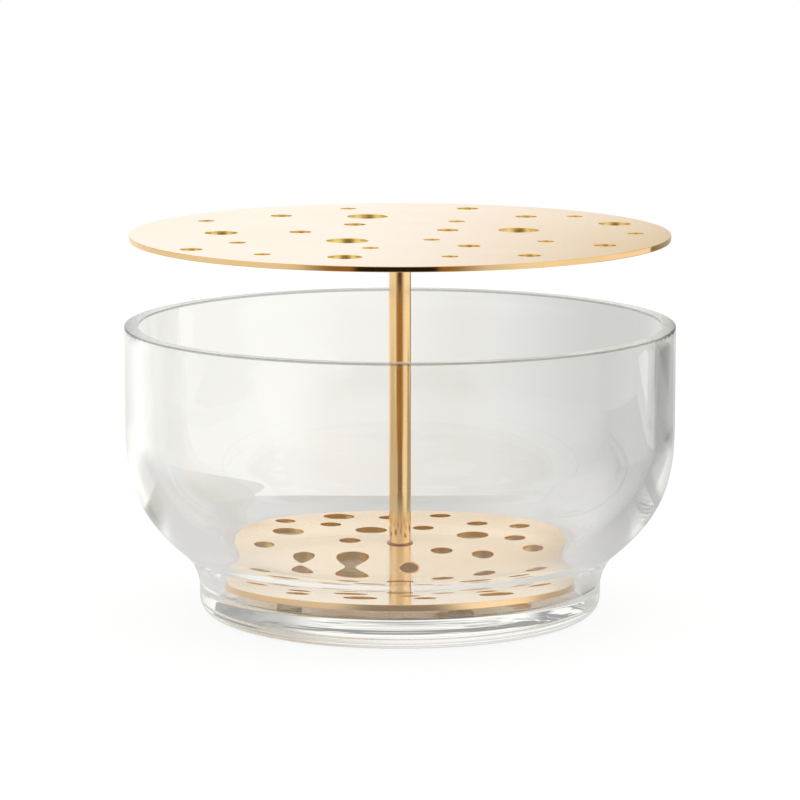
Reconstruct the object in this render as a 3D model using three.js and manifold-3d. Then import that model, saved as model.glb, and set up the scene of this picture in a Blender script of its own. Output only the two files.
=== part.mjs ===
// An ikebana vase: a thick clear glass bowl on a short foot, and a brass insert that stands loose in it.
// The insert is two perforated discs on a slim stem, and flower stems go down through both discs.
// Sizes are in millimetres, with +Z up and the origin at the centre of the foot's underside.

import * as THREE from 'three';
import { mergeVertices } from 'three/addons/utils/BufferGeometryUtils.js';
import Module from 'manifold-3d';

// Bowl, outside
const BOWL_RADIUS = 100;
const BOWL_HEIGHT = 106;
const FOOT_RADIUS = 73.2;
const FOOT_EDGE_RADIUS = 6.3;
const FOOT_BAND = 3.1;
const NECK_RADIUS = 19;
const FLARE_ANGLE = 50.2;
const SHOULDER_HEIGHT = 70.5;
const FLARE_LOWER_PULL = 0.436;
const FLARE_UPPER_PULL = 0.395;

// Bowl, inside: the wall thickens downwards to a solid floor with a well for the lower disc
const RIM_WALL = 5.2;
const RIM_EDGE_RADIUS = 0.5;
const SHOULDER_WALL = 6.3;
const FOOT_WALL = 7.5;
const FLOOR_THICKNESS = 10.5;
const WELL_CORNER_RADIUS = 0.6;
const WELL_BAND = 0.1;
const WELL_NECK_RADIUS = 20.5;
const WELL_FLARE_ANGLE = 30.5;
const WELL_SHOULDER_HEIGHT = 69;
const WELL_LOWER_PULL = 0.264;
const WELL_UPPER_PULL = 0.569;

// Discs of the insert
const UPPER_PLATE_RADIUS = 98;
const UPPER_PLATE_THICKNESS = 2;
const LOWER_PLATE_THICKNESS = 3;
const PLATE_EASE = 0.2;
const WELL_CLEARANCE = 1.8;
const LARGE_BORE = 15;
const MEDIUM_BORE = 12;
const SMALL_BORE = 8;
const FINE_BORE = 6;

// Stem between the discs
const STEM_DIAMETER = 8;
const STEM_LENGTH = 120;
const COLLAR_DIAMETER = 9.8;
const COLLAR_HEIGHT = 0.5;
const SPIGOT_DIAMETER = 6;
const SPIGOT_HEIGHT = 1.2;

// Countersunk screw that holds the lower disc on the stem
const SCREW_DIAMETER = 4;
const SCREW_LENGTH = 12;
const SCREW_HEAD_DIAMETER = 7.4;
const SCREW_HEAD_RIM = 0.25;
const SCREW_SOCKET_WIDTH = 2.5;
const SCREW_SOCKET_DEPTH = 1.2;
const SCREW_TIP_ROOM = 1;

// Clear pads under the lower disc
const PAD_DIAMETER = 9;
const PAD_HEIGHT = 3.3;
const PAD_EDGE_RADIUS = 1;
const PAD_INSET = 24;
const PAD_BEARINGS = [-58, 62, 182];

// Clearances
const FIT_GAP = 0.3;
const SEAT_GAP = 0.2;

// Facets
const BOWL_SIDES = 64;
const PLATE_SIDES = 96;
const ROUND_SIDES = 32;
const HOLE_SIDES = 16;
const HEX_SIDES = 6;

// Scattered holes of the discs, by bore: the share of the disc's radius and the bearing from +X in degrees
const UPPER_HOLES = [
  { bore: LARGE_BORE, places: [[0.55, 103], [0.31, -128], [0.45, 11]] },
  { bore: MEDIUM_BORE, places: [[0.66, 180], [0.75, -105], [0.86, 20]] },
  {
    bore: SMALL_BORE,
    places: [
      [0.72, 129], [0.32, 122], [0.37, 175], [0.9, -146], [0.85, 72],
      [0.72, 48], [0.2, 27], [0.47, -58], [0.83, -27], [0.82, -56],
    ],
  },
  {
    bore: FINE_BORE,
    places: [
      [0.83, 152], [0.83, 104], [0.66, -153], [0.81, -127], [0.47, -103], [0.86, 39],
      [0.43, 60], [0.87, -1], [0.24, -61], [0.59, -26], [0.73, -76],
    ],
  },
];
const LOWER_HOLES = [
  {
    bore: MEDIUM_BORE,
    places: [[0.85, 116], [0.72, 159], [0.38, 117], [0.4, -133], [0.47, 23], [0.63, -110], [0.72, -43]],
  },
  {
    bore: SMALL_BORE,
    places: [
      [0.9, 141], [0.65, 130], [0.75, 95], [0.3, 170], [0.81, -174], [0.62, -154],
      [0.84, 73], [0.43, 71], [0.7, 48], [0.83, 29], [0.69, 7], [0.3, -36],
      [0.8, -11], [0.54, -27], [0.43, -83], [0.73, -140], [0.61, -77],
    ],
  },
];

// Worked out from the sizes above
const WELL_RADIUS = FOOT_RADIUS - FOOT_WALL;
const LOWER_PLATE_RADIUS = WELL_RADIUS - WELL_CLEARANCE;
const INSERT_HEIGHT = FLOOR_THICKNESS + SEAT_GAP + PAD_HEIGHT;
const STEM_FOOT_HEIGHT = LOWER_PLATE_THICKNESS;
const UPPER_PLATE_HEIGHT = STEM_FOOT_HEIGHT + STEM_LENGTH;
const PAD_RING = LOWER_PLATE_RADIUS - PAD_INSET;
const SCREW_HEAD_CONE = (SCREW_HEAD_DIAMETER - SCREW_DIAMETER) / 2;

const glass = new THREE.MeshStandardMaterial({
  color: 0xeef3f0, roughness: 0.03, metalness: 0, transparent: true, opacity: 0.3,
});
const brass = new THREE.MeshStandardMaterial({ color: 0xd9b070, roughness: 0.25, metalness: 1 });
const clearRubber = new THREE.MeshStandardMaterial({
  color: 0xe6e8e4, roughness: 0.4, metalness: 0, transparent: true, opacity: 0.6,
});

const wasm = await Module();
wasm.setup();

// A closed geometry as a solid that can be cut.
function toSolid(geometry) {
  const bare = geometry.clone();
  bare.deleteAttribute('normal');
  bare.deleteAttribute('uv');
  const merged = mergeVertices(bare);
  return new wasm.Manifold(new wasm.Mesh({
    numProp: 3,
    vertProperties: new Float32Array(merged.attributes.position.array),
    triVerts: new Uint32Array(merged.index.array),
  }));
}

// A solid as a geometry with normals.
function toGeometry(solid) {
  const mesh = solid.getMesh();
  const geometry = new THREE.BufferGeometry();
  geometry.setAttribute('position', new THREE.BufferAttribute(mesh.vertProperties, mesh.numProp));
  geometry.setIndex(new THREE.BufferAttribute(mesh.triVerts, 1));
  geometry.computeVertexNormals();
  return geometry;
}

// A body of revolution about +Z, from [radius, height] points that run outwards, up and back to the axis.
function turned(points, sides) {
  const profile = points.map((point) => (point.isVector2 ? point : new THREE.Vector2(point[0], point[1])));
  const lathe = new THREE.LatheGeometry(profile, sides);
  lathe.rotateX(Math.PI / 2);
  return toGeometry(toSolid(lathe));
}

// Points of an arc, from one angle to another, either way round.
function arc(centreRadius, centreHeight, radius, start, end, steps) {
  const curve = new THREE.EllipseCurve(centreRadius, centreHeight, radius, radius, start, end, end < start);
  return curve.getPoints(steps);
}

// One side of the bowl's wall, from the corner of its foot to where the wall stands upright.
function bowlSide(side) {
  const flare = THREE.MathUtils.degToRad(side.flareAngle);
  const cornerHeight = side.baseHeight + side.cornerRadius;
  const neckHeight = cornerHeight + side.band;
  const corner = arc(side.footRadius - side.cornerRadius, cornerHeight, side.cornerRadius,
    -Math.PI / 2, 0, side.cornerSteps);
  const neck = arc(side.footRadius + side.neckRadius, neckHeight, side.neckRadius,
    Math.PI, Math.PI - flare, side.neckSteps);
  const neckEnd = neck[neck.length - 1];
  const shoulder = new THREE.Vector2(side.wallRadius, side.shoulderHeight);
  const reach = neckEnd.distanceTo(shoulder);
  const outwards = new THREE.Vector2(Math.sin(flare), Math.cos(flare));
  const lowerHandle = neckEnd.clone().addScaledVector(outwards, reach * side.lowerPull);
  const upperHandle = new THREE.Vector2(side.wallRadius, side.shoulderHeight - reach * side.upperPull);
  const belly = new THREE.CubicBezierCurve(neckEnd, lowerHandle, upperHandle, shoulder);
  return [...corner, ...neck, ...belly.getPoints(side.bellySteps).slice(1)];
}

// Bowl: one wall from the flat underside, up the outside, over the flat ground rim and down to the floor.
function buildBowl() {
  const outside = bowlSide({
    baseHeight: 0, footRadius: FOOT_RADIUS, cornerRadius: FOOT_EDGE_RADIUS, band: FOOT_BAND,
    neckRadius: NECK_RADIUS, flareAngle: FLARE_ANGLE, wallRadius: BOWL_RADIUS,
    shoulderHeight: SHOULDER_HEIGHT, lowerPull: FLARE_LOWER_PULL, upperPull: FLARE_UPPER_PULL,
    cornerSteps: 4, neckSteps: 6, bellySteps: 9,
  });
  const inside = bowlSide({
    baseHeight: FLOOR_THICKNESS, footRadius: WELL_RADIUS, cornerRadius: WELL_CORNER_RADIUS, band: WELL_BAND,
    neckRadius: WELL_NECK_RADIUS, flareAngle: WELL_FLARE_ANGLE, wallRadius: BOWL_RADIUS - SHOULDER_WALL,
    shoulderHeight: WELL_SHOULDER_HEIGHT, lowerPull: WELL_LOWER_PULL, upperPull: WELL_UPPER_PULL,
    cornerSteps: 2, neckSteps: 5, bellySteps: 9,
  });
  const edgeHeight = BOWL_HEIGHT - RIM_EDGE_RADIUS;
  const outerEdge = arc(BOWL_RADIUS - RIM_EDGE_RADIUS, edgeHeight, RIM_EDGE_RADIUS, 0, Math.PI / 2, 2);
  const innerEdge = arc(BOWL_RADIUS - RIM_WALL + RIM_EDGE_RADIUS, edgeHeight, RIM_EDGE_RADIUS,
    Math.PI / 2, Math.PI, 2);
  const rim = [...outerEdge, ...innerEdge];
  return turned([[0, 0], ...outside, ...rim, ...inside.reverse(), [0, FLOOR_THICKNESS]], BOWL_SIDES);
}

// A disc blank with eased rims, its underside at height 0.
function buildDisc(radius, thickness) {
  return turned([
    [0, 0],
    [radius - PLATE_EASE, 0],
    [radius, PLATE_EASE],
    [radius, thickness - PLATE_EASE],
    [radius - PLATE_EASE, thickness],
    [0, thickness],
  ], PLATE_SIDES);
}

// A round cutter that stands past both faces of a disc.
function buildDrill(diameter, thickness, x, y) {
  const drill = new THREE.CylinderGeometry(diameter / 2, diameter / 2, thickness * 3, HOLE_SIDES);
  drill.rotateX(Math.PI / 2);
  drill.translate(x, y, thickness / 2);
  return toSolid(drill);
}

// A disc with its scattered holes drilled through.
function perforate(radius, thickness, holes) {
  let disc = toSolid(buildDisc(radius, thickness));
  for (const { bore, places } of holes) {
    for (const [share, bearing] of places) {
      const angle = THREE.MathUtils.degToRad(bearing);
      const ring = share * radius;
      disc = disc.subtract(buildDrill(bore, thickness, ring * Math.cos(angle), ring * Math.sin(angle)));
    }
  }
  return disc;
}

// Upper disc, with a blind seat in its underside for the stem's spigot.
function buildUpperPlate() {
  const seatRadius = SPIGOT_DIAMETER / 2 + FIT_GAP;
  const seat = turned([
    [0, -UPPER_PLATE_THICKNESS],
    [seatRadius, -UPPER_PLATE_THICKNESS],
    [seatRadius, SPIGOT_HEIGHT + FIT_GAP],
    [0, SPIGOT_HEIGHT + FIT_GAP],
  ], ROUND_SIDES);
  const disc = perforate(UPPER_PLATE_RADIUS, UPPER_PLATE_THICKNESS, UPPER_HOLES);
  return toGeometry(disc.subtract(toSolid(seat)));
}

// Lower disc, countersunk from below for the screw.
function buildLowerPlate() {
  const holeRadius = SCREW_DIAMETER / 2 + FIT_GAP;
  const headRadius = SCREW_HEAD_DIAMETER / 2 + FIT_GAP;
  const headRimTop = SCREW_HEAD_RIM + FIT_GAP;
  const countersink = turned([
    [0, -LOWER_PLATE_THICKNESS],
    [headRadius, -LOWER_PLATE_THICKNESS],
    [headRadius, headRimTop],
    [holeRadius, headRimTop + SCREW_HEAD_CONE],
    [holeRadius, LOWER_PLATE_THICKNESS * 2],
    [0, LOWER_PLATE_THICKNESS * 2],
  ], ROUND_SIDES);
  const disc = perforate(LOWER_PLATE_RADIUS, LOWER_PLATE_THICKNESS, LOWER_HOLES);
  return toGeometry(disc.subtract(toSolid(countersink)));
}

// Stem: tapped at its foot for the screw, with a thin collar there and a spigot at its top.
function buildStem() {
  const tappedRadius = SCREW_DIAMETER / 2 + FIT_GAP;
  const tappedDepth = SCREW_LENGTH + FIT_GAP - LOWER_PLATE_THICKNESS + SCREW_TIP_ROOM;
  return turned([
    [0, tappedDepth],
    [tappedRadius, tappedDepth],
    [tappedRadius, 0],
    [COLLAR_DIAMETER / 2, 0],
    [COLLAR_DIAMETER / 2, COLLAR_HEIGHT],
    [STEM_DIAMETER / 2, COLLAR_HEIGHT],
    [STEM_DIAMETER / 2, STEM_LENGTH],
    [SPIGOT_DIAMETER / 2, STEM_LENGTH],
    [SPIGOT_DIAMETER / 2, STEM_LENGTH + SPIGOT_HEIGHT],
    [0, STEM_LENGTH + SPIGOT_HEIGHT],
  ], ROUND_SIDES);
}

// Countersunk screw with a hexagon socket, its head a little inside the disc's underside.
function buildScrew() {
  const shankRadius = SCREW_DIAMETER / 2;
  const headRadius = SCREW_HEAD_DIAMETER / 2;
  const body = turned([
    [0, 0],
    [headRadius, 0],
    [headRadius, SCREW_HEAD_RIM],
    [shankRadius, SCREW_HEAD_RIM + SCREW_HEAD_CONE],
    [shankRadius, SCREW_LENGTH],
    [0, SCREW_LENGTH],
  ], ROUND_SIDES);
  const socketRadius = SCREW_SOCKET_WIDTH / Math.sqrt(3);
  const socket = new THREE.CylinderGeometry(socketRadius, socketRadius, SCREW_SOCKET_DEPTH * 2, HEX_SIDES);
  socket.rotateX(Math.PI / 2);
  return toGeometry(toSolid(body).subtract(toSolid(socket)));
}

// Clear pad: a low round button with a rounded lower edge, its top stuck to the lower disc.
function buildPad() {
  const radius = PAD_DIAMETER / 2;
  const edge = arc(radius - PAD_EDGE_RADIUS, PAD_EDGE_RADIUS, PAD_EDGE_RADIUS, -Math.PI / 2, 0, 3);
  return turned([[0, 0], ...edge, [radius, PAD_HEIGHT], [0, PAD_HEIGHT]], ROUND_SIDES);
}

// A named piece of the vase.
function piece(name, geometry, material, x, y, z) {
  const mesh = new THREE.Mesh(geometry, material);
  mesh.name = name;
  mesh.position.set(x, y, z);
  return mesh;
}

// Insert, from the underside of its lower disc
const insert = new THREE.Group();
insert.position.z = INSERT_HEIGHT;
insert.add(piece('lower_plate', buildLowerPlate(), brass, 0, 0, 0));
insert.add(piece('stem', buildStem(), brass, 0, 0, STEM_FOOT_HEIGHT));
insert.add(piece('upper_plate', buildUpperPlate(), brass, 0, 0, UPPER_PLATE_HEIGHT));
insert.add(piece('stem_screw', buildScrew(), brass, 0, 0, FIT_GAP));
PAD_BEARINGS.forEach((bearing, index) => {
  const angle = THREE.MathUtils.degToRad(bearing);
  const x = PAD_RING * Math.cos(angle);
  const y = PAD_RING * Math.sin(angle);
  insert.add(piece(`bumper_pad_${index + 1}`, buildPad(), clearRubber, x, y, -PAD_HEIGHT));
});

const vase = new THREE.Group();
vase.add(piece('glass_bowl', buildBowl(), glass, 0, 0, 0));
vase.add(insert);

export default vase;
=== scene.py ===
"""Looks of an ikebana vase: a clear glass bowl and a brass insert of two perforated discs on a stem."""

import logging
import math
from dataclasses import dataclass, field
from enum import Enum

import bmesh
import bpy
from mathutils import Matrix, Vector


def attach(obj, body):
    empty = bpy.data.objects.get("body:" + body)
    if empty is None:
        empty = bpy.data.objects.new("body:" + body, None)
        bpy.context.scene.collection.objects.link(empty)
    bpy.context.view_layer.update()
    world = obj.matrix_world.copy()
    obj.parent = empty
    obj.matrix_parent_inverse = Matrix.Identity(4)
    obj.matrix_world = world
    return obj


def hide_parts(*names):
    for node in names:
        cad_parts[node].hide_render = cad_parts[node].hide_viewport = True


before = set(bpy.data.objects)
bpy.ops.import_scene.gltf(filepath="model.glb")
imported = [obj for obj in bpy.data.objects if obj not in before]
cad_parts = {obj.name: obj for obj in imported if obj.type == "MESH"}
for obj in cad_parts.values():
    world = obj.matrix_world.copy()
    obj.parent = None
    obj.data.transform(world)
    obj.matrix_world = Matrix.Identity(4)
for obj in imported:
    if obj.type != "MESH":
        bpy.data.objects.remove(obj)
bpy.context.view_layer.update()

log = logging.getLogger("vase")

MM = 0.001
FULL_TURN = 2 * math.pi
WELD = 1e-7

Colour = tuple[float, float, float]
Stretch = tuple[float, float, float]
Span = tuple[float, float]
Place = tuple[float, float]
ProfilePoint = tuple[float, float]


class Body(str, Enum):
    """Bodies that the pieces ride on."""

    BOWL = "bowl"
    PIVOT = "insert_pivot"
    INSERT = "insert"


class Slot(str, Enum):
    """Material slots of the record."""

    GLASS = "clear_glass"
    BRASS = "brass"
    RUBBER = "clear_rubber"


class Bore(float, Enum):
    """Diameters of the holes in the discs, in metres."""

    LARGE = 15 * MM
    MEDIUM = 12 * MM
    SMALL = 8 * MM
    FINE = 6 * MM


# Shader nodes


class Signal:
    """A number that comes out of a node, with arithmetic that adds Math nodes."""

    def __init__(self, sheet: "NodeSheet", socket: bpy.types.NodeSocket) -> None:
        """Keeps the sheet that the nodes go on and the socket that is wrapped."""
        self.sheet = sheet
        self.socket = socket

    def math(self, operation: str, *values: "Signal | float") -> "Signal":
        """Adds a Math node.

        Args:
            operation: the node's operation.
            values: its inputs, in order.

        Returns:
            The result.
        """
        return self.sheet.node("ShaderNodeMath", {"operation": operation}, dict(enumerate(values)))

    def __add__(self, other: "Signal | float") -> "Signal":
        """self + other."""
        return self.math("ADD", self, other)

    def __radd__(self, other: float) -> "Signal":
        """other + self."""
        return self.math("ADD", other, self)

    def __sub__(self, other: "Signal | float") -> "Signal":
        """self - other."""
        return self.math("SUBTRACT", self, other)

    def __rsub__(self, other: float) -> "Signal":
        """other - self."""
        return self.math("SUBTRACT", other, self)

    def __mul__(self, other: "Signal | float") -> "Signal":
        """self * other."""
        return self.math("MULTIPLY", self, other)

    def __rmul__(self, other: float) -> "Signal":
        """other * self."""
        return self.math("MULTIPLY", other, self)

    def __abs__(self) -> "Signal":
        """The size of self without its sign."""
        return self.math("ABSOLUTE", self)

    def root(self) -> "Signal":
        """The square root of self."""
        return self.math("SQRT", self)

    def step(self, low: float, high: float) -> "Signal":
        """A smooth step.

        Args:
            low: where it is 0.
            high: where it is 1, below low for a step down.

        Returns:
            0 to 1.
        """
        sockets = {"Value": self, "From Min": low, "From Max": high}
        if low > high:
            sockets = {"Value": self, "From Min": high, "From Max": low, "To Min": 1.0, "To Max": 0.0}
        return self.sheet.node("ShaderNodeMapRange", {"interpolation_type": "SMOOTHSTEP"}, sockets)


class NodeSheet:
    """The node tree of a material or of the world."""

    # A Mix node that is set to colours takes them in these inputs and gives its result in this output
    MIX_COLOURS = (6, 7)
    MIX_RESULT = 2

    def __init__(self, tree: bpy.types.NodeTree) -> None:
        """Empties the tree."""
        self.tree = tree
        tree.nodes.clear()

    def node(self, kind: str, settings: dict, sockets: dict, out: "str | int" = 0) -> "Signal | None":
        """Adds any node.

        Args:
            kind: the node's type.
            settings: its properties.
            sockets: values or signals by input name or number.
            out: the output that is wanted.

        Returns:
            That output, or None for a node without outputs.
        """
        made = self.tree.nodes.new(kind)
        for name, value in settings.items():
            setattr(made, name, value)
        for name, value in sockets.items():
            if isinstance(value, Signal):
                self.tree.links.new(value.socket, made.inputs[name])
            else:
                made.inputs[name].default_value = value
        return Signal(self, made.outputs[out]) if made.outputs else None

    def coordinates(self, kind: str = "Object") -> Signal:
        """The surface's own coordinates, or Generated for a direction in the world."""
        return self.node("ShaderNodeTexCoord", {}, {}, kind)

    def split(self, vector: Signal) -> tuple[Signal, Signal, Signal]:
        """The three parts of a vector."""
        first = self.node("ShaderNodeSeparateXYZ", {}, {"Vector": vector})
        outputs = first.socket.node.outputs
        return Signal(self, outputs["X"]), Signal(self, outputs["Y"]), Signal(self, outputs["Z"])

    def level(self) -> Signal:
        """How level the surface lies: 1 where it faces straight up or down, 0 where it stands upright."""
        _, _, up = self.split(self.node("ShaderNodeNewGeometry", {}, {}, "Normal"))
        return abs(up)

    def stretch(self, vector: Signal, scale: Stretch) -> Signal:
        """A vector with each part scaled."""
        return self.node("ShaderNodeMapping", {}, {"Vector": vector, "Scale": scale})

    def noise(self, vector: Signal, scale: float, detail: float = 2.0, roughness: float = 0.5) -> Signal:
        """Soft noise from 0 to 1, with scale in waves per metre."""
        sockets = {"Vector": vector, "Scale": scale, "Detail": detail, "Roughness": roughness}
        return self.node("ShaderNodeTexNoise", {}, sockets, "Fac")

    def mix(self, share: "Signal | float", first: "Signal | Colour", second: "Signal | Colour",
            blend: str = "MIX") -> Signal:
        """A colour between two.

        Args:
            share: 0 for the first, 1 for the second.
            first: a colour.
            second: a colour.
            blend: how the second is laid over the first.

        Returns:
            The colour between them.
        """
        sockets = {"Factor": share}
        for number, colour in zip(self.MIX_COLOURS, (first, second)):
            sockets[number] = colour if isinstance(colour, Signal) else (*colour, 1.0)
        settings = {"data_type": "RGBA", "blend_type": blend}
        return self.node("ShaderNodeMix", settings, sockets, self.MIX_RESULT)

    def tint(self, share: Signal, colour: Signal, filter_colour: Colour) -> Signal:
        """A colour multiplied by another, as far as the share goes."""
        return self.mix(share, colour, filter_colour, "MULTIPLY")

    def bump(self, height: Signal, distance: float) -> Signal:
        """A normal from a height from 0 to 1, with distance in metres."""
        return self.node("ShaderNodeBump", {}, {"Height": height, "Distance": distance}, "Normal")

    def surface(self, sockets: dict) -> None:
        """Ends a material in one Principled shader with these sockets."""
        shader = self.node("ShaderNodeBsdfPrincipled", {}, sockets)
        self.node("ShaderNodeOutputMaterial", {}, {"Surface": shader})

    def glow(self, colour: Signal) -> None:
        """Ends a material in an even glow of this colour."""
        light = self.node("ShaderNodeEmission", {}, {"Color": colour})
        self.node("ShaderNodeOutputMaterial", {}, {"Surface": light})


def new_material(name: str) -> tuple[bpy.types.Material, NodeSheet]:
    """Makes an empty material.

    Args:
        name: its name.

    Returns:
        The material and its sheet of nodes.
    """
    material = bpy.data.materials.new(name)
    material.use_nodes = True
    return material, NodeSheet(material.node_tree)


def from_axis(across: Signal, along: Signal) -> Signal:
    """Distance from the upright axis of the vase."""
    return (across * across + along * along).root()


# Finishes


@dataclass(frozen=True)
class ClearGlass:
    """Thick clear soda glass, polished.

    The rim is flattened by grinding and has a painted grey shade, darker on its rounded edges; the wall has
    the faint waves of blown glass, and the pressed foot has fine rings.
    """

    body: Colour = (1.0, 1.0, 0.999)
    streak: Colour = (0.996, 0.998, 0.995)
    streak_scale: float = 14.0
    streak_stretch: Stretch = (1.0, 1.0, 3.0)
    streak_span: Span = (0.35, 0.7)
    # Painted shade on the rim: grey on its level top, darker on its rounded edges
    rim_shade: Colour = (0.62, 0.65, 0.65)
    rim_shade_span: Span = (105.2 * MM, 105.4 * MM)
    arris_shade: Colour = (0.33, 0.35, 0.35)
    arris_shade_span: Span = (0.98, 0.9)
    index: float = 1.515
    smear_scale: float = 60.0
    smear_span: Span = (0.45, 0.8)
    smear_roughness: float = 0.015
    wave_scale: float = 22.0
    wave_height: float = 0.02 * MM
    ring_scale: float = 300.0
    ring_stretch: Stretch = (0.008, 0.008, 1.0)
    ring_span: Span = (13 * MM, 11 * MM)
    ring_height: float = 0.05 * MM

    def build(self) -> bpy.types.Material:
        """Makes the material."""
        material, sheet = new_material("clear_glass")
        spot = sheet.coordinates()
        _, _, up = sheet.split(spot)
        cord = sheet.noise(sheet.stretch(spot, self.streak_stretch), self.streak_scale, detail=3.0)
        smear = sheet.noise(spot, self.smear_scale, detail=4.0, roughness=0.6)
        wave = sheet.noise(spot, self.wave_scale, detail=1.0)
        ring = sheet.noise(sheet.stretch(spot, self.ring_stretch), self.ring_scale, roughness=0.6)
        relief = wave + (self.ring_height / self.wave_height) * up.step(*self.ring_span) * ring
        # Painted grey shade on the top of the rim, darker on its rounded edges
        rim = sheet.mix(sheet.level().step(*self.arris_shade_span), self.rim_shade, self.arris_shade)
        clear = sheet.mix(cord.step(*self.streak_span), self.body, self.streak)
        sheet.surface({
            "Base Color": sheet.mix(up.step(*self.rim_shade_span), clear, rim),
            "Roughness": self.smear_roughness * smear.step(*self.smear_span),
            "IOR": self.index,
            "Transmission Weight": 1.0,
            "Normal": sheet.bump(relief, self.wave_height),
        })
        return material


@dataclass(frozen=True)
class SatinBrass:
    """Lacquered brass: satin faces made pale partly by the brass and partly by a painted sheen, bright
    turned rims and rods, and golden bores.

    The bores lie within bore_reach of the axis. The metal is dark below the height low_tone_top.
    """

    name: str
    # Colour of the level faces: the brass lightened by a painted sheen, a painted highlight on every level
    # face
    face: Colour = (0.97, 0.765, 0.54)
    face_roughness: float = 0.15
    flat_span: Span = (0.75, 0.97)
    metal: Colour = (0.83, 0.58, 0.29)
    turned_roughness: float = 0.08
    bore: Colour = (0.95, 0.76, 0.32)
    bore_reach: float = 0.0
    bore_fade: float = 1 * MM
    bore_roughness: float = 0.17
    worn: Colour = (0.96, 0.93, 0.88)
    worn_span: Span = (0.35, 0.7)
    grazing: Colour = (1.0, 0.96, 0.89)
    lacquer: float = 0.8
    lacquer_change: float = 0.1
    lacquer_roughness: float = 0.2
    lacquer_index: float = 1.5
    # Darker colour for the metal below a given height; on the stem it covers the collar and the screw below
    # it
    low_tone: Colour = (0.4, 0.27, 0.16)
    low_tone_top: float = 0.0
    low_tone_fade: float = 0.2 * MM
    cloud_scale: float = 30.0
    cloud_roughness: float = 0.04
    grain: Stretch = (1.0, 1.0, 1.0)
    grain_scale: float = 1500.0
    grain_roughness: float = 0.03
    grain_height: float = 0.0004 * MM

    def build(self) -> bpy.types.Material:
        """Makes the material."""
        material, sheet = new_material(self.name)
        spot = sheet.coordinates()
        across, along, up = sheet.split(spot)
        level = sheet.level()
        flat = level.step(*self.flat_span)
        upright = level.step(*reversed(self.flat_span))
        bored = from_axis(across, along).step(self.bore_reach + self.bore_fade, self.bore_reach)
        # The metal below that height is drawn darker
        low_toned = up.step(self.low_tone_top + self.low_tone_fade, self.low_tone_top)
        cloud = sheet.noise(spot, self.cloud_scale, detail=4.0, roughness=0.55)
        hair = sheet.noise(sheet.stretch(spot, self.grain), self.grain_scale)
        # Level faces take the paler colour with its painted sheen; rims, rods and bores keep the metal
        # colour
        colour = sheet.mix(flat, sheet.mix(bored, self.metal, self.bore), self.face)
        toned = sheet.tint(cloud.step(*self.worn_span), colour, self.worn)
        satin = self.turned_roughness + (self.face_roughness - self.turned_roughness) * flat
        drilled = self.bore_roughness * bored * upright
        uneven = self.cloud_roughness * (cloud - 0.5) + self.grain_roughness * (hair - 0.5)
        sheet.surface({
            "Base Color": sheet.tint(low_toned, toned, self.low_tone),
            "Metallic": 1.0,
            "Roughness": satin + drilled + uneven,
            "Specular Tint": (*self.grazing, 1.0),
            "Coat Weight": (self.lacquer + self.lacquer_change * (cloud - 0.5)) * flat,
            "Coat Roughness": self.lacquer_roughness,
            "Coat IOR": self.lacquer_index,
            "Normal": sheet.bump(hair, self.grain_height),
        })
        return material


@dataclass(frozen=True)
class ClearSilicone:
    """Soft clear silicone, a little cloudy."""

    tint: Colour = (0.93, 0.94, 0.92)
    cloudy: Colour = (0.86, 0.87, 0.84)
    clearness: float = 0.92
    index: float = 1.41
    roughness: float = 0.16
    haze_scale: float = 260.0
    haze_span: Span = (0.4, 0.7)
    haze_roughness: float = 0.12
    haze_height: float = 0.02 * MM

    def build(self) -> bpy.types.Material:
        """Makes the material."""
        material, sheet = new_material("clear_silicone")
        haze = sheet.noise(sheet.coordinates(), self.haze_scale, detail=3.0)
        sheet.surface({
            "Base Color": sheet.mix(haze.step(*self.haze_span), self.tint, self.cloudy),
            "Roughness": self.roughness + self.haze_roughness * haze,
            "IOR": self.index,
            "Transmission Weight": self.clearness,
            "Normal": sheet.bump(haze, self.haze_height),
        })
        return material


# Mesh work


def put(mesh: bmesh.types.BMesh, name: str, material: bpy.types.Material) -> bpy.types.Object:
    """Turns a finished mesh into an object at the origin.

    Args:
        mesh: the mesh, which is freed.
        name: the object's name.
        material: its finish.

    Returns:
        The object.
    """
    data = bpy.data.meshes.new(name)
    mesh.to_mesh(data)
    mesh.free()
    data.materials.append(material)
    piece = bpy.data.objects.new(name, data)
    bpy.context.scene.collection.objects.link(piece)
    return piece


def turn(profile: list[ProfilePoint], steps: int) -> bmesh.types.BMesh:
    """Spins a profile about the Z axis into a closed body.

    Args:
        profile: radius and height of each point, from the axis round to the axis.
        steps: steps of the full turn.

    Returns:
        The smooth body.
    """
    mesh = bmesh.new()
    points = [mesh.verts.new((radius, 0.0, height)) for radius, height in profile]
    edges = [mesh.edges.new(pair) for pair in zip(points, points[1:])]
    bmesh.ops.spin(mesh, geom=points + edges, cent=(0, 0, 0), axis=(0, 0, 1), angle=FULL_TURN, steps=steps,
                   use_merge=True)
    bmesh.ops.remove_doubles(mesh, verts=mesh.verts, dist=WELD)
    bmesh.ops.recalc_face_normals(mesh, faces=mesh.faces)
    for face in mesh.faces:
        face.smooth = True
    return mesh


def arc(centre: ProfilePoint, radius: float, start: float, end: float, steps: int) -> list[ProfilePoint]:
    """Points of an arc in a profile.

    Args:
        centre: its centre.
        radius: its radius.
        start: the first angle, in radians.
        end: the last angle.
        steps: the number of steps.

    Returns:
        The points.
    """
    angles = [start + (end - start) * step / steps for step in range(steps + 1)]
    middle, height = centre
    return [(middle + radius * math.cos(angle), height + radius * math.sin(angle)) for angle in angles]


def line(start: ProfilePoint, end: ProfilePoint, steps: int) -> list[ProfilePoint]:
    """Points of a straight line in a profile, both ends left out."""
    width = end[0] - start[0]
    rise = end[1] - start[1]
    shares = [step / steps for step in range(1, steps)]
    return [(start[0] + width * share, start[1] + rise * share) for share in shares]


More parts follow.
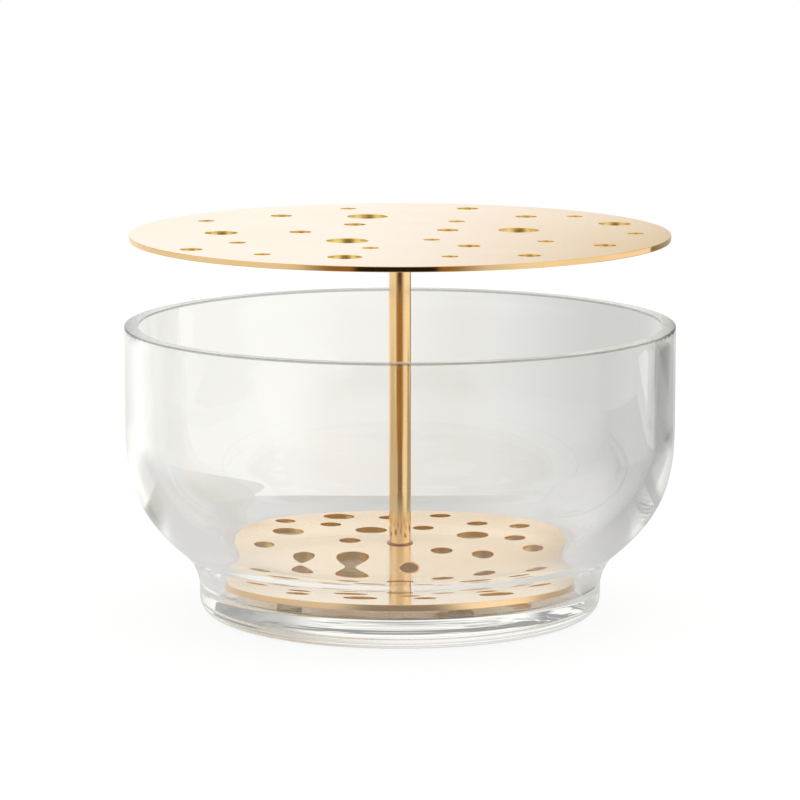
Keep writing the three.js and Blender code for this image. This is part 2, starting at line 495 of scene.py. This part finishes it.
def sharpen(mesh: bmesh.types.BMesh, angle: float) -> None:
    """Marks edges that turn by more than an angle, in degrees, as sharp."""
    limit = math.radians(angle)
    for edge in mesh.edges:
        edge.smooth = len(edge.link_faces) == 2 and edge.calc_face_angle(0.0) < limit


# Pieces


@dataclass
class WallSide:
    """One side of the bowl's wall: a rounded corner, a hollow neck and a belly that ends upright."""

    base_height: float
    foot_radius: float
    corner_radius: float
    band: float
    neck_radius: float
    flare_angle: float
    wall_radius: float
    shoulder_height: float
    lower_pull: float
    upper_pull: float
    corner_steps: int = 14
    neck_steps: int = 24
    belly_steps: int = 56

    def points(self) -> list[ProfilePoint]:
        """Profile points, from the corner to the shoulder."""
        flare = math.radians(self.flare_angle)
        corner_centre = (self.foot_radius - self.corner_radius, self.base_height + self.corner_radius)
        corner = arc(corner_centre, self.corner_radius, -math.pi / 2, 0, self.corner_steps)
        neck_centre = (self.foot_radius + self.neck_radius, corner_centre[1] + self.band)
        neck = arc(neck_centre, self.neck_radius, math.pi, math.pi - flare, self.neck_steps)
        start = Vector(neck[-1])
        end = Vector((self.wall_radius, self.shoulder_height))
        reach = (end - start).length
        lower = start + reach * self.lower_pull * Vector((math.sin(flare), math.cos(flare)))
        upper = end - reach * self.upper_pull * Vector((0.0, 1.0))
        belly = []
        for step in range(1, self.belly_steps + 1):
            share = step / self.belly_steps
            rest = 1 - share
            point = rest**3 * start + share**3 * end
            point += 3 * rest * share * (rest * lower + share * upper)
            belly.append((point.x, point.y))
        return corner + neck + belly


@dataclass
class GlassBowl:
    """The bowl: one thick wall with a flat rim made by grinding, on a short solid foot with a flat
    underside.
    """

    finish: ClearGlass
    radius: float = 100 * MM
    height: float = 106 * MM
    rim_wall: float = 5.2 * MM
    edge_radius: float = 0.5 * MM
    floor: float = 10.5 * MM
    steps: int = 320
    edge_steps: int = 8
    rim_steps: int = 24
    wall_steps: int = 8
    outside: WallSide = field(default_factory=lambda: WallSide(
        base_height=0.0, foot_radius=73.2 * MM, corner_radius=6.3 * MM, band=3.1 * MM,
        neck_radius=19 * MM, flare_angle=50.2, wall_radius=100 * MM, shoulder_height=70.5 * MM,
        lower_pull=0.436, upper_pull=0.395))
    inside: WallSide = field(default_factory=lambda: WallSide(
        base_height=10.5 * MM, foot_radius=65.7 * MM, corner_radius=0.6 * MM, band=0.1 * MM,
        neck_radius=20.5 * MM, flare_angle=30.5, wall_radius=93.7 * MM, shoulder_height=69 * MM,
        lower_pull=0.264, upper_pull=0.569))

    def profile(self) -> list[ProfilePoint]:
        """The wall's whole outline, from the underside's centre to the floor's centre."""
        outer = self.outside.points()
        inner = self.inside.points()
        edge = self.edge_radius
        edge_height = self.height - edge
        inner_radius = self.radius - self.rim_wall
        outer_edge = arc((self.radius - edge, edge_height), edge, 0, math.pi / 2, self.edge_steps)
        inner_edge = arc((inner_radius + edge, edge_height), edge, math.pi / 2, math.pi, self.edge_steps)
        rim = [*outer_edge, *line(outer_edge[-1], inner_edge[0], self.rim_steps), *inner_edge]
        outer_wall = line(outer[-1], rim[0], self.wall_steps)
        inner_wall = line(rim[-1], inner[-1], self.wall_steps)
        return [(0.0, 0.0), *outer, *outer_wall, *rim, *inner_wall, *reversed(inner), (0.0, self.floor)]

    def build(self) -> list[bpy.types.Object]:
        """Makes the bowl."""
        mesh = turn(self.profile(), self.steps)
        piece = put(mesh, "bowl_glass", self.finish.build())
        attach(piece, Body.BOWL.value)
        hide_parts("glass_bowl")
        return [piece]


@dataclass
class PerforatedDisc:
    """A flat brass disc with eased edges and scattered round holes."""

    name: str
    node: str
    finish: bpy.types.Material
    radius: float
    underside: float
    thickness: float
    holes: dict[Bore, list[Place]]
    ease: float = 0.2 * MM
    ease_steps: int = 3
    corner_angle: float = 57.0
    crease: float = 12.0
    rim_steps: int = 288
    hole_steps: int = 56

    def build(self) -> list[bpy.types.Object]:
        """Makes the disc."""
        mesh = bmesh.new()
        bmesh.ops.create_circle(mesh, segments=self.rim_steps, radius=self.radius)
        for bore, places in self.holes.items():
            for share, bearing in places:
                turned = Matrix.Rotation(math.radians(bearing), 4, "Z")
                placed = turned @ Matrix.Translation((share * self.radius, 0.0, 0.0))
                bmesh.ops.create_circle(mesh, segments=self.hole_steps, radius=bore.value / 2, matrix=placed)
        bmesh.ops.triangle_fill(mesh, use_beauty=True, edges=mesh.edges[:])
        sheet = bmesh.ops.extrude_face_region(mesh, geom=mesh.faces[:])
        raised = [item for item in sheet["geom"] if isinstance(item, bmesh.types.BMVert)]
        bmesh.ops.translate(mesh, verts=raised, vec=(0.0, 0.0, self.thickness))
        bmesh.ops.translate(mesh, verts=mesh.verts, vec=(0.0, 0.0, self.underside))
        bmesh.ops.recalc_face_normals(mesh, faces=mesh.faces)
        self._ease_edges(mesh)
        for face in mesh.faces:
            face.smooth = True
        sharpen(mesh, self.crease)
        piece = put(mesh, self.name, self.finish)
        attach(piece, Body.INSERT.value)
        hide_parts(self.node)
        return [piece]

    def _ease_edges(self, mesh: bmesh.types.BMesh) -> None:
        """Rounds the corners of the rim and then of every hole."""
        limit = math.radians(self.corner_angle)
        corners = [edge for edge in mesh.edges if edge.calc_face_angle(0.0) > limit]
        rim = [edge for edge in corners if edge.verts[0].co.xy.length > self.radius - self.ease]
        outer = set(rim)
        holes = [edge for edge in corners if edge not in outer]
        for edges in (rim, holes):
            sound = [edge for edge in edges if edge.is_valid]
            bmesh.ops.bevel(mesh, geom=sound, offset=self.ease, offset_type="OFFSET", profile=0.5,
                            segments=self.ease_steps, affect="EDGES", material=-1, clamp_overlap=True)


@dataclass
class Stem:
    """The slim brass rod between the discs, with a thin collar and a tapped bore at its foot."""

    finish: bpy.types.Material
    foot: float = 17 * MM
    length: float = 120 * MM
    diameter: float = 8 * MM
    collar_diameter: float = 9.8 * MM
    collar_height: float = 0.5 * MM
    bore_diameter: float = 4.6 * MM
    bore_depth: float = 10.3 * MM
    drill_point: float = 1.15 * MM
    steps: int = 128
    collar_steps: int = 8
    rod_steps: int = 24
    crease: float = 40.0

    def profile(self) -> list[ProfilePoint]:
        """The rod's outline, from the end of its tapped bore to its upper end."""
        bore = self.bore_diameter / 2
        collar = self.collar_diameter / 2
        rod = self.diameter / 2
        step = self.foot + self.collar_height
        top = self.foot + self.length
        bore_end = self.foot + self.bore_depth
        half = self.collar_height / 2
        ring = arc((collar - half, self.foot + half), half, -math.pi / 2, math.pi / 2, self.collar_steps)
        side = line((rod, step), (rod, top), self.rod_steps)
        return [(0.0, bore_end), (bore, bore_end - self.drill_point), (bore, self.foot), *ring,
                (rod, step), *side, (rod, top), (0.0, top)]

    def build(self) -> list[bpy.types.Object]:
        """Makes the stem."""
        mesh = turn(self.profile(), self.steps)
        sharpen(mesh, self.crease)
        piece = put(mesh, "stem_rod", self.finish)
        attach(piece, Body.INSERT.value)
        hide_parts("stem")
        return [piece]


@dataclass
class StemScrew:
    """The countersunk screw under the lower disc, with a hexagon socket."""

    finish: bpy.types.Material
    base: float = 14.3 * MM
    length: float = 12 * MM
    diameter: float = 4 * MM
    head_diameter: float = 7.4 * MM
    head_rim: float = 0.25 * MM
    socket_width: float = 2.5 * MM
    socket_depth: float = 1.2 * MM
    tip_chamfer: float = 0.5 * MM
    steps: int = 48
    socket_sides: int = 6
    crease: float = 30.0

    def build(self) -> list[bpy.types.Object]:
        """Makes the screw."""
        head = self.head_diameter / 2
        shank = self.diameter / 2
        cone = head - shank
        tip = shank - self.tip_chamfer
        mesh = bmesh.new()
        bmesh.ops.create_circle(mesh, segments=self.steps, radius=head)
        rim_edges = list(mesh.edges)
        corner = self.socket_width / math.sqrt(3)
        bmesh.ops.create_circle(mesh, segments=self.socket_sides, radius=corner)
        rim = set(rim_edges)
        socket_edges = [edge for edge in mesh.edges if edge not in rim]
        bmesh.ops.triangle_fill(mesh, use_beauty=True, edges=mesh.edges[:])
        self._extend(mesh, socket_edges, self.socket_depth, 1.0, True)
        outline = [(self.head_rim, head), (self.head_rim + cone, shank),
                   (self.length - self.tip_chamfer, shank), (self.length, tip)]
        height = 0.0
        size = head
        loop = rim_edges
        for level, radius in outline:
            loop = self._extend(mesh, loop, level - height, radius / size, level == self.length)
            height = level
            size = radius
        bmesh.ops.translate(mesh, verts=mesh.verts, vec=(0.0, 0.0, self.base))
        bmesh.ops.recalc_face_normals(mesh, faces=mesh.faces)
        for face in mesh.faces:
            face.smooth = True
        sharpen(mesh, self.crease)
        piece = put(mesh, "screw_body", self.finish)
        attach(piece, Body.PIVOT.value)
        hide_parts("stem_screw")
        return [piece]

    @staticmethod
    def _extend(mesh: bmesh.types.BMesh, loop: list[bmesh.types.BMEdge], rise: float, scale: float,
                closed: bool) -> list[bmesh.types.BMEdge]:
        """Draws a loop upwards.

        Args:
            mesh: the mesh.
            loop: the loop's edges.
            rise: how far it goes up.
            scale: how much wider it gets.
            closed: whether the new end is filled.

        Returns:
            The edges of the new loop.
        """
        drawn = bmesh.ops.extrude_edge_only(mesh, edges=loop)["geom"]
        corners = [item for item in drawn if isinstance(item, bmesh.types.BMVert)]
        bmesh.ops.scale(mesh, verts=corners, vec=(scale, scale, 1.0))
        bmesh.ops.translate(mesh, verts=corners, vec=(0.0, 0.0, rise))
        ring = set(corners)
        edges = [item for item in drawn if isinstance(item, bmesh.types.BMEdge)]
        ends = [edge for edge in edges if ring.issuperset(edge.verts)]
        if closed:
            bmesh.ops.edgeloop_fill(mesh, edges=ends)
        return ends


@dataclass
class BumperPads:
    """Three clear pads under the lower disc, each with a rounded lower edge."""

    finish: ClearSilicone
    bearings: tuple[float, ...] = (-58.0, 62.0, 182.0)
    ring: float = 39.9 * MM
    base: float = 10.7 * MM
    height: float = 3.3 * MM
    diameter: float = 9 * MM
    edge_radius: float = 1 * MM
    steps: int = 64
    edge_steps: int = 8
    crease: float = 40.0

    def build(self) -> list[bpy.types.Object]:
        """Makes the pads."""
        material = self.finish.build()
        radius = self.diameter / 2
        top = self.base + self.height
        edge_centre = (radius - self.edge_radius, self.base + self.edge_radius)
        edge = arc(edge_centre, self.edge_radius, -math.pi / 2, 0, self.edge_steps)
        pads = []
        for number, bearing in enumerate(self.bearings, 1):
            mesh = turn([(0.0, self.base), *edge, (radius, top), (0.0, top)], self.steps)
            sharpen(mesh, self.crease)
            turned = Matrix.Rotation(math.radians(bearing), 4, "Z")
            placed = turned @ Matrix.Translation((self.ring, 0.0, 0.0))
            bmesh.ops.transform(mesh, matrix=placed, verts=mesh.verts)
            piece = put(mesh, f"pad_{number}", material)
            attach(piece, Body.INSERT.value)
            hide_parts(f"bumper_pad_{number}")
            pads.append(piece)
        return pads


UPPER_HOLES: dict[Bore, list[Place]] = {
    Bore.LARGE: [(0.55, 103), (0.31, -128), (0.45, 11)],
    Bore.MEDIUM: [(0.66, 180), (0.75, -105), (0.86, 20)],
    Bore.SMALL: [
        (0.72, 129), (0.32, 122), (0.37, 175), (0.9, -146), (0.85, 72),
        (0.72, 48), (0.2, 27), (0.47, -58), (0.83, -27), (0.82, -56),
    ],
    Bore.FINE: [
        (0.83, 152), (0.83, 104), (0.66, -153), (0.81, -127), (0.47, -103), (0.86, 39),
        (0.43, 60), (0.87, -1), (0.24, -61), (0.59, -26), (0.73, -76),
    ],
}
LOWER_HOLES: dict[Bore, list[Place]] = {
    Bore.MEDIUM: [(0.85, 116), (0.72, 159), (0.38, 117), (0.4, -133), (0.47, 23), (0.63, -110), (0.72, -43)],
    Bore.SMALL: [
        (0.9, 141), (0.65, 130), (0.75, 95), (0.3, 170), (0.81, -174), (0.62, -154),
        (0.84, 73), (0.43, 71), (0.7, 48), (0.83, 29), (0.69, 7), (0.3, -36),
        (0.8, -11), (0.54, -27), (0.43, -83), (0.73, -140), (0.61, -77),
    ],
}


# Studio


@dataclass(frozen=True)
class LightPanel:
    """A lit or dark panel of the surroundings.

    Bearings and heights are angles in degrees. A bearing of 0 lies on the viewer's side, 90 on the right.
    A mirrored panel shows in polished faces, but not through the glass.
    """

    bearing: float
    half_width: float
    height: float
    half_height: float
    colour: Colour
    soft: float
    soft_height: float
    mirrored: bool = False


def show_in_vase(card: bpy.types.Object) -> bpy.types.Object:
    """Lets a card show in the vase alone, with no light and no shadow of its own on the floor."""
    card.visible_camera = False
    card.visible_diffuse = False
    card.visible_shadow = False
    return card


@dataclass(frozen=True)
class Backdrop:
    """A pale card behind the vase, in shade on its right, with dark slats and a dark post.

    Each span says where a shade begins and where it is full, in metres to the right or up.
    """

    distance: float = 0.5
    half_width: float = 0.7
    bottom: float = -0.25
    top: float = 0.75
    pale: Colour = (0.95, 0.943, 0.908)
    shade: Colour = (0.56, 0.562, 0.54)
    shade_right: Span = (-0.03, 0.15)
    side: Colour = (1.04, 1.035, 1.0)
    side_left: Span = (-0.24, -0.34)
    middle_up: Span = (0.03, 0.07)
    middle_right: Span = (0.1, 0.2)
    corner: Colour = (0.41, 0.41, 0.395)
    corner_right: Span = (0.2, 0.34)
    post: Colour = (0.24, 0.24, 0.23)
    post_right: Span = (0.24, 0.3)
    post_bottom: Span = (-0.05, -0.035)
    post_top: Span = (0.07, 0.04)
    upper_pale: Colour = (1.04, 1.02, 1.02)
    upper_shade: Colour = (0.6, 0.44, 0.2)
    upper_up: Span = (0.17, 0.22)
    upper_right: Span = (-0.05, 0.18)
    slat: Colour = (0.33, 0.33, 0.32)
    slat_scale: float = 160.0
    slat_stretch: Stretch = (0.006, 1.0, 1.0)
    slat_span: Span = (0.46, 0.54)
    slat_bottom: Span = (0.08, 0.086)
    slat_top: Span = (0.11, 0.104)
    end_out: Span = (0.2, 0.28)
    end_bottom: Span = (0.1, 0.11)
    end_top: Span = (0.21, 0.19)

    def build(self) -> bpy.types.Object:
        """Makes the card."""
        material, sheet = new_material("backdrop_card")
        spot = sheet.coordinates()
        across, _, up = sheet.split(spot)
        lower = sheet.mix(across.step(*self.shade_right), self.pale, self.shade)
        middle = sheet.mix(across.step(*self.middle_right), self.side, self.shade)
        upper = sheet.mix(across.step(*self.upper_right), self.upper_pale, self.upper_shade)
        colour = sheet.mix(up.step(*self.middle_up), lower, middle)
        colour = sheet.mix(across.step(*self.corner_right), colour, self.corner)
        upright = across.step(*self.post_right) * up.step(*self.post_bottom) * up.step(*self.post_top)
        colour = sheet.mix(upright, colour, self.post)
        colour = sheet.mix(up.step(*self.upper_up), colour, upper)
        colour = sheet.mix(across.step(*self.side_left), colour, self.side)
        slats = sheet.noise(sheet.stretch(spot, self.slat_stretch), self.slat_scale, detail=1.0)
        slats = slats.step(*self.slat_span)
        row = up.step(*self.slat_bottom) * up.step(*self.slat_top)
        ends = abs(across).step(*self.end_out) * up.step(*self.end_bottom) * up.step(*self.end_top)
        colour = sheet.mix(slats * row, colour, self.slat)
        sheet.glow(sheet.mix(slats * ends, colour, self.slat))
        mesh = bmesh.new()
        corners = [(-self.half_width, self.bottom), (self.half_width, self.bottom),
                   (self.half_width, self.top), (-self.half_width, self.top)]
        mesh.faces.new([mesh.verts.new((x, self.distance, z)) for x, z in corners])
        return show_in_vase(put(mesh, "backdrop", material))


@dataclass(frozen=True)
class Table:
    """The lit table top that shows in the vase: pale behind it, dim round it, with a warm painted shadow
    under its foot.

    Each span says where a shade begins and where it is full, in metres to the right, to the back or
    from the axis.
    """

    size: tuple[float, float] = (1.2, 0.44)
    back: float = 0.19
    drop: float = 0.3 * MM
    pale: Colour = (0.69, 0.685, 0.665)
    shade: Colour = (0.44, 0.438, 0.423)
    shade_right: Span = (0.05, 0.16)
    shade_back: Span = (-0.06, 0.0)
    far: Colour = (0.9, 0.895, 0.87)
    far_left: Span = (-0.03, -0.14)
    far_back: Span = (0.1, 0.18)
    lit: Colour = (1.1, 1.09, 1.05)
    lit_right: Span = (0.06, 0.14)
    lit_front: Span = (-0.02, -0.08)
    front: Colour = (0.18, 0.175, 0.16)
    front_in: Span = (0.13, 0.05)
    front_front: Span = (-0.11, -0.18)
    # Painted shadow under the foot, a little warm
    under: Colour = (0.3, 0.21, 0.11)
    foot_shadow_in: Span = (73 * MM, 57 * MM)
    # Darker painted shade under the front edge of the lower disc
    gap: Colour = (0.08, 0.085, 0.07)
    gap_shade_front: Span = (-0.026, -0.036)

    def build(self) -> bpy.types.Object:
        """Makes the table top."""
        material, sheet = new_material("lit_table")
        across, along, _ = sheet.split(sheet.coordinates())
        right = across.step(*self.shade_right) * along.step(*self.shade_back)
        colour = sheet.mix(right, self.pale, self.shade)
        behind = along.step(*self.far_back) * across.step(*self.far_left)
        colour = sheet.mix(behind, colour, self.far)
        aside = across.step(*self.lit_right) * along.step(*self.lit_front)
        colour = sheet.mix(aside, colour, self.lit)
        before = along.step(*self.front_front) * abs(across).step(*self.front_in)
        colour = sheet.mix(before, colour, self.front)
        # Painted shadow under the foot, darker still towards the front
        dark = sheet.mix(along.step(*self.gap_shade_front), self.under, self.gap)
        sheet.glow(sheet.mix(from_axis(across, along).step(*self.foot_shadow_in), colour, dark))
        width, depth = self.size
        mesh = bmesh.new()
        spread = Matrix.Diagonal((width, depth, 1.0, 1.0))
        bmesh.ops.create_grid(mesh, x_segments=1, y_segments=1, size=0.5, matrix=spread)
        bmesh.ops.translate(mesh, verts=mesh.verts, vec=(0.0, self.back - depth / 2, -self.drop))
        return show_in_vase(put(mesh, "table", material))


@dataclass(frozen=True)
class PaperFloor:
    """The white floor that the viewer sees, with a soft shadow of the vase."""

    radius: float = 1.6
    steps: int = 96
    drop: float = 0.3 * MM
    glow: float = 1.05
    shadow_share: float = 0.14
    dull: Colour = (0.95, 0.95, 0.95)
    bright: Colour = (0.97, 0.97, 0.97)
    grain_scale: float = 90.0

    def build(self) -> bpy.types.Object:
        """Makes the floor."""
        material, sheet = new_material("white_paper")
        grain = sheet.noise(sheet.coordinates(), self.grain_scale, detail=3.0)
        white = sheet.mix(grain, self.dull, self.bright)
        matt = sheet.node("ShaderNodeBsdfDiffuse", {}, {"Color": white})
        glow = sheet.node("ShaderNodeEmission", {}, {"Color": (1.0, 1.0, 1.0, 1.0), "Strength": self.glow})
        lit = sheet.node("ShaderNodeMixShader", {}, {0: self.shadow_share, 1: glow, 2: matt})
        sheet.node("ShaderNodeOutputMaterial", {}, {"Surface": lit})
        down = Matrix.Translation((0.0, 0.0, -self.drop))
        mesh = bmesh.new()
        bmesh.ops.create_circle(mesh, cap_ends=True, segments=self.steps, radius=self.radius, matrix=down)
        floor = put(mesh, "floor", material)
        floor.visible_glossy = False
        floor.visible_transmission = False
        floor.visible_diffuse = False
        return floor


@dataclass
class Studio:
    """A white table in a soft-lit room: bright panels all round, with a dark gap on the viewer's side."""

    background: Colour = (1.0, 1.0, 1.0)
    ambient: Colour = (0.99, 0.985, 0.96)
    panels: tuple[LightPanel, ...] = (
        LightPanel(bearing=0, half_width=40, height=20, half_height=62, colour=(0.72, 0.72, 0.7),
                   soft=40, soft_height=10),
        LightPanel(bearing=98, half_width=45, height=0, half_height=25, colour=(1.12, 1.11, 1.08),
                   soft=30, soft_height=20),
        LightPanel(bearing=-118, half_width=16, height=12, half_height=12, colour=(0.55, 0.55, 0.54),
                   soft=12, soft_height=10),
        LightPanel(bearing=-4, half_width=33, height=-17, half_height=13, colour=(0.34, 0.18, 0.05),
                   soft=20, soft_height=6),
        LightPanel(bearing=-1.5, half_width=17.5, height=-17, half_height=13.5, colour=(0.012, 0.011, 0.01),
                   soft=3, soft_height=5, mirrored=True),
    )
    sensor: float = 36.0
    lens: float = 189.6
    nearest: float = 0.01
    camera_place: tuple[float, float, float] = (0.0, -1.5152, 0.3175)
    target_height: float = 0.075
    shift: float = 0.0093
    bounces: int = 160

    def build_camera(self) -> None:
        """Sets the camera at the viewing angle of the photograph."""
        data = bpy.data.cameras.new("camera")
        data.sensor_width = self.sensor
        data.lens = self.lens
        data.shift_y = self.shift
        data.clip_start = self.nearest
        camera = bpy.data.objects.new("camera", data)
        camera.location = self.camera_place
        drop = math.atan2(self.camera_place[2] - self.target_height, -self.camera_place[1])
        camera.rotation_euler = (math.pi / 2 - drop, 0.0, 0.0)
        bpy.context.scene.collection.objects.link(camera)
        bpy.context.scene.camera = camera

    def build_world(self) -> None:
        """Lights the scene from the panels, on a white background."""
        world = bpy.data.worlds.new("studio")
        world.use_nodes = True
        bpy.context.scene.world = world
        sheet = NodeSheet(world.node_tree)
        across, along, up = sheet.split(sheet.coordinates("Generated"))
        rise = up.math("ARCSINE", up)
        through = sheet.node("ShaderNodeLightPath", {}, {}, "Is Transmission Ray")
        light: "Signal | Colour" = self.ambient
        for panel in self.panels:
            turned = math.radians(panel.bearing)
            ahead = math.sin(turned) * across - math.cos(turned) * along
            aside = math.cos(turned) * across + math.sin(turned) * along
            bearing = abs(aside.math("ARCTAN2", aside, ahead))
            height = abs(rise - math.radians(panel.height))
            share = self._inside(bearing, panel.half_width, panel.soft)
            share = share * self._inside(height, panel.half_height, panel.soft_height)
            if panel.mirrored:
                share = share * (1.0 - through)
            light = sheet.mix(share, light, panel.colour)
        seen = sheet.node("ShaderNodeLightPath", {}, {}, "Is Camera Ray")
        shown = sheet.mix(seen, light, self.background)
        background = sheet.node("ShaderNodeBackground", {}, {"Color": shown})
        sheet.node("ShaderNodeOutputWorld", {}, {"Surface": background})

    @staticmethod
    def _inside(angle: Signal, half: float, soft: float) -> Signal:
        """1 within an angle of a panel's middle and 0 beyond, with a soft edge."""
        return angle.step(math.radians(half + soft / 2), math.radians(half - soft / 2))

    def build(self) -> None:
        """Sets up the camera, the light and what the vase stands on and before."""
        scene = bpy.context.scene
        scene.view_settings.view_transform = "Standard"
        scene.cycles.max_bounces = self.bounces
        scene.cycles.transmission_bounces = self.bounces
        scene.cycles.glossy_bounces = self.bounces
        self.build_camera()
        self.build_world()
        PaperFloor().build()
        Table().build()
        Backdrop().build()


def main() -> None:
    """Builds the vase and its studio, and notes the size of the result."""
    logging.basicConfig(level=logging.INFO, format="%(name)s: %(message)s")
    Studio().build()
    upper_brass = SatinBrass("upper_disc_brass", bore_reach=96 * MM).build()
    # The lower disc's level faces are paler still, with more painted sheen
    lower_brass = SatinBrass("lower_disc_brass", face=(1.0, 0.85, 0.66), face_roughness=0.2,
                             metal=(0.96, 0.68, 0.38), bore=(0.97, 0.67, 0.25), bore_reach=62 * MM,
                             lacquer=0.5).build()
    # The stem's brass is drawn darker below the top of its collar
    stem_brass = SatinBrass("stem_brass", metal=(0.93, 0.67, 0.36), turned_roughness=0.14,
                            low_tone_top=17.5 * MM, grain=(1.0, 1.0, 0.03)).build()
    makers = [
        GlassBowl(ClearGlass()),
        PerforatedDisc("upper_disc", "upper_plate", upper_brass, radius=98 * MM, underside=137 * MM,
                       thickness=2 * MM, holes=UPPER_HOLES),
        PerforatedDisc("lower_disc", "lower_plate", lower_brass, radius=63.9 * MM, underside=14 * MM,
                       thickness=3 * MM, holes=LOWER_HOLES),
        Stem(stem_brass),
        StemScrew(stem_brass),
        BumperPads(ClearSilicone()),
    ]
    for maker in makers:
        for piece in maker.build():
            log.info("%s: %d faces", piece.name, len(piece.data.polygons))


if __name__ == "__main__":
    main()
